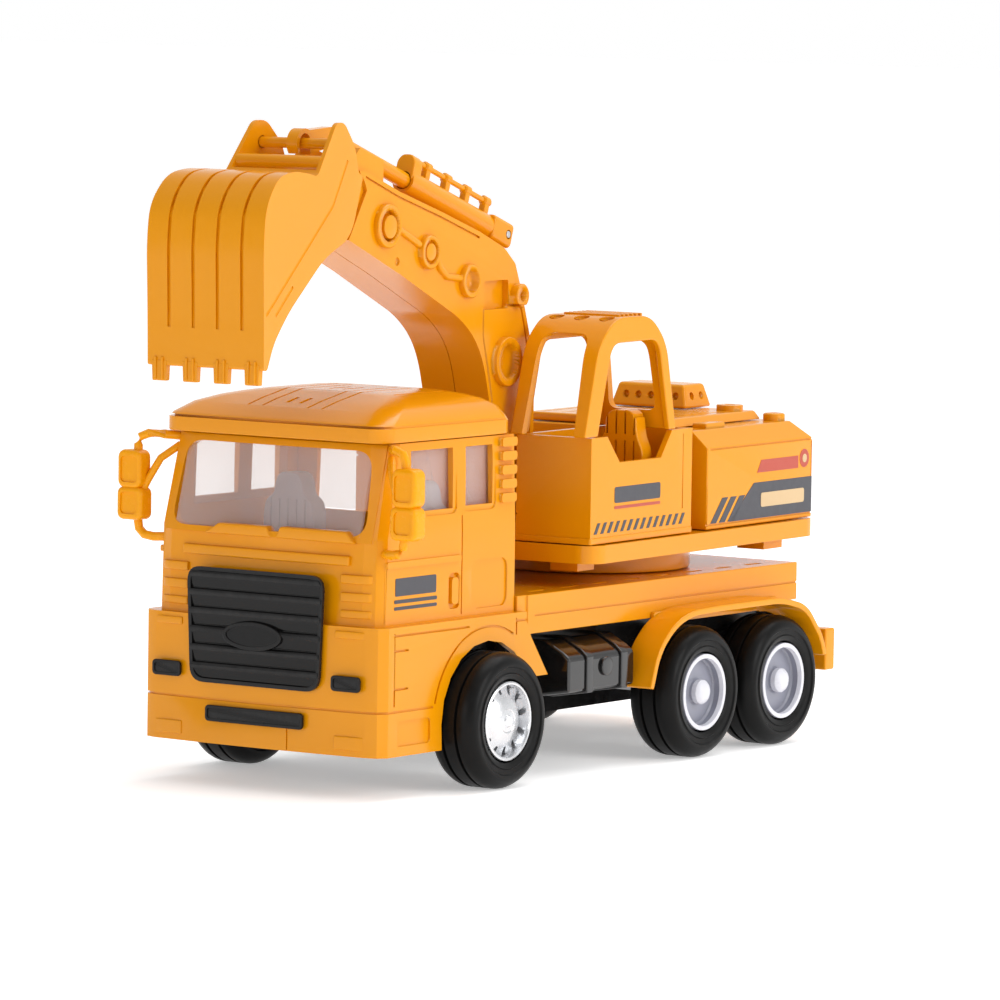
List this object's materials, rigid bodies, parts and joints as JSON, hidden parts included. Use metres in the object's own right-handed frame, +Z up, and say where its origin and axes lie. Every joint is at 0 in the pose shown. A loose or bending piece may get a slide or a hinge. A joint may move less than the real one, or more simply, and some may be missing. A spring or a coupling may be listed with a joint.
{
  "type": "toy excavator truck",
  "caption": "Toy excavator on a three-axle truck: slewing superstructure, lifting boom, tilting bucket with a coupled cylinder, rolling wheels.",
  "frame": {"origin": "on the floor under the centre of the whole toy's box, wheels on z = 0", "axes": "-Y towards the front of the truck, +X towards its left side, +Z up"},
  "size_m": [0.114, 0.2918, 0.2035],
  "materials": {
    "yellow_plastic": "glossy moulded plastic, orange-yellow",
    "black_plastic": "satin black moulded plastic",
    "tyre_rubber": "matt black rubbery plastic",
    "silver_rim": "bright silver plating on plastic",
    "grey_plastic": "light grey moulded plastic",
    "steel": "plain steel wire and screws",
    "clear_plastic": "clear moulded glazing with a faint warm tint"
  },
  "bodies": {
    "truck": {"chassis": "black_plastic", "chassis_screw_front": "steel", "chassis_screw_rear": "steel", "flatbed_deck": "yellow_plastic", "turntable_ring": "yellow_plastic", "slew_pivot_screw": "steel", "rear_fender_left": "yellow_plastic", "rear_fender_right": "yellow_plastic", "rear_bumper": "yellow_plastic", "fuel_tank_left": "black_plastic", "fuel_tank_right": "black_plastic", "cab_shell": "yellow_plastic", "cab_roof": "yellow_plastic", "windscreen": "clear_plastic", "rear_window": "clear_plastic", "side_glazing_left": "clear_plastic", "side_glazing_right": "clear_plastic", "cab_interior": "grey_plastic", "front_grille": "black_plastic", "lamp_insert_left": "black_plastic", "lamp_insert_right": "black_plastic", "bumper_intake": "black_plastic", "side_mirror_left": "yellow_plastic", "side_mirror_right": "yellow_plastic"},
    "superstructure": {"slewing_platform": "yellow_plastic", "operator_cab_base": "yellow_plastic", "operator_cab_frame": "yellow_plastic", "operator_seat": "yellow_plastic", "engine_housing": "yellow_plastic", "engine_cover": "yellow_plastic", "air_filter_box": "yellow_plastic", "tool_box_right": "yellow_plastic", "boom_bracket": "yellow_plastic", "boom_pivot_pin": "steel"},
    "boom": {"boom_shell_left": "yellow_plastic", "boom_shell_right": "yellow_plastic", "boom_screw": "steel", "cylinder_pivot_pin": "steel"},
    "bucket": {"bucket": "yellow_plastic", "bucket_pivot_pin": "steel", "bucket_link_pin": "yellow_plastic"},
    "cylinder_barrel": {"cylinder_barrel": "yellow_plastic", "hydraulic_pipe": "yellow_plastic"},
    "cylinder_rod": {"piston_rod": "yellow_plastic", "rod_end_eye": "yellow_plastic"},
    "front_wheels": {"front_axle_rod": "steel", "front_rim_left": "silver_rim", "front_rim_right": "silver_rim", "front_tyre_left": "tyre_rubber", "front_tyre_right": "tyre_rubber"},
    "middle_wheels": {"middle_axle_rod": "steel", "middle_rim_left": "grey_plastic", "middle_rim_right": "grey_plastic", "middle_tyre_left": "tyre_rubber", "middle_tyre_right": "tyre_rubber"},
    "rear_wheels": {"rear_axle_rod": "steel", "rear_rim_left": "grey_plastic", "rear_rim_right": "grey_plastic", "rear_tyre_left": "tyre_rubber", "rear_tyre_right": "tyre_rubber"}
  },
  "joints": [
    {"name": "slew", "type": "hinge", "parent": "truck", "child": "superstructure", "pos_m": [0, 0.0749, 0.068], "axis": [0, 0, 1], "continuous": true},
    {"name": "boom_lift", "type": "hinge", "parent": "superstructure", "child": "boom", "pos_m": [0.00345, 0.00899, 0.09], "axis": [-0.9986, -0.0523, 0], "range_deg": [-15, 25]},
    {"name": "bucket_tilt", "type": "hinge", "parent": "boom", "child": "bucket", "pos_m": [0.00843, -0.08588, 0.18], "axis": [-0.9986, -0.0523, 0], "range_deg": [-25, 25]},
    {"name": "cylinder_swing", "type": "hinge", "parent": "boom", "child": "cylinder_barrel", "pos_m": [0.00303, 0.01698, 0.166], "axis": [-0.9986, -0.0523, 0], "range_deg": [-3, 3]},
    {"name": "rod_slide", "type": "slide", "parent": "cylinder_barrel", "child": "cylinder_rod", "axis": [0.0497, -0.9474, 0.3162], "range_m": [-0.0062, 0.0062]},
    {"name": "front_wheel_spin", "type": "hinge", "parent": "truck", "child": "front_wheels", "pos_m": [0, -0.0464, 0.021], "axis": [1, 0, 0], "continuous": true},
    {"name": "middle_wheel_spin", "type": "hinge", "parent": "truck", "child": "middle_wheels", "pos_m": [0, 0.0617, 0.021], "axis": [1, 0, 0], "continuous": true},
    {"name": "rear_wheel_spin", "type": "hinge", "parent": "truck", "child": "rear_wheels", "pos_m": [0, 0.1078, 0.021], "axis": [1, 0, 0], "continuous": true}
  ],
  "couplings": [
    {"joint": "cylinder_swing", "follows": "bucket_tilt", "ratio": 0.112},
    {"joint": "rod_slide", "follows": "bucket_tilt", "m_per_rad": -0.01352}
  ]
}
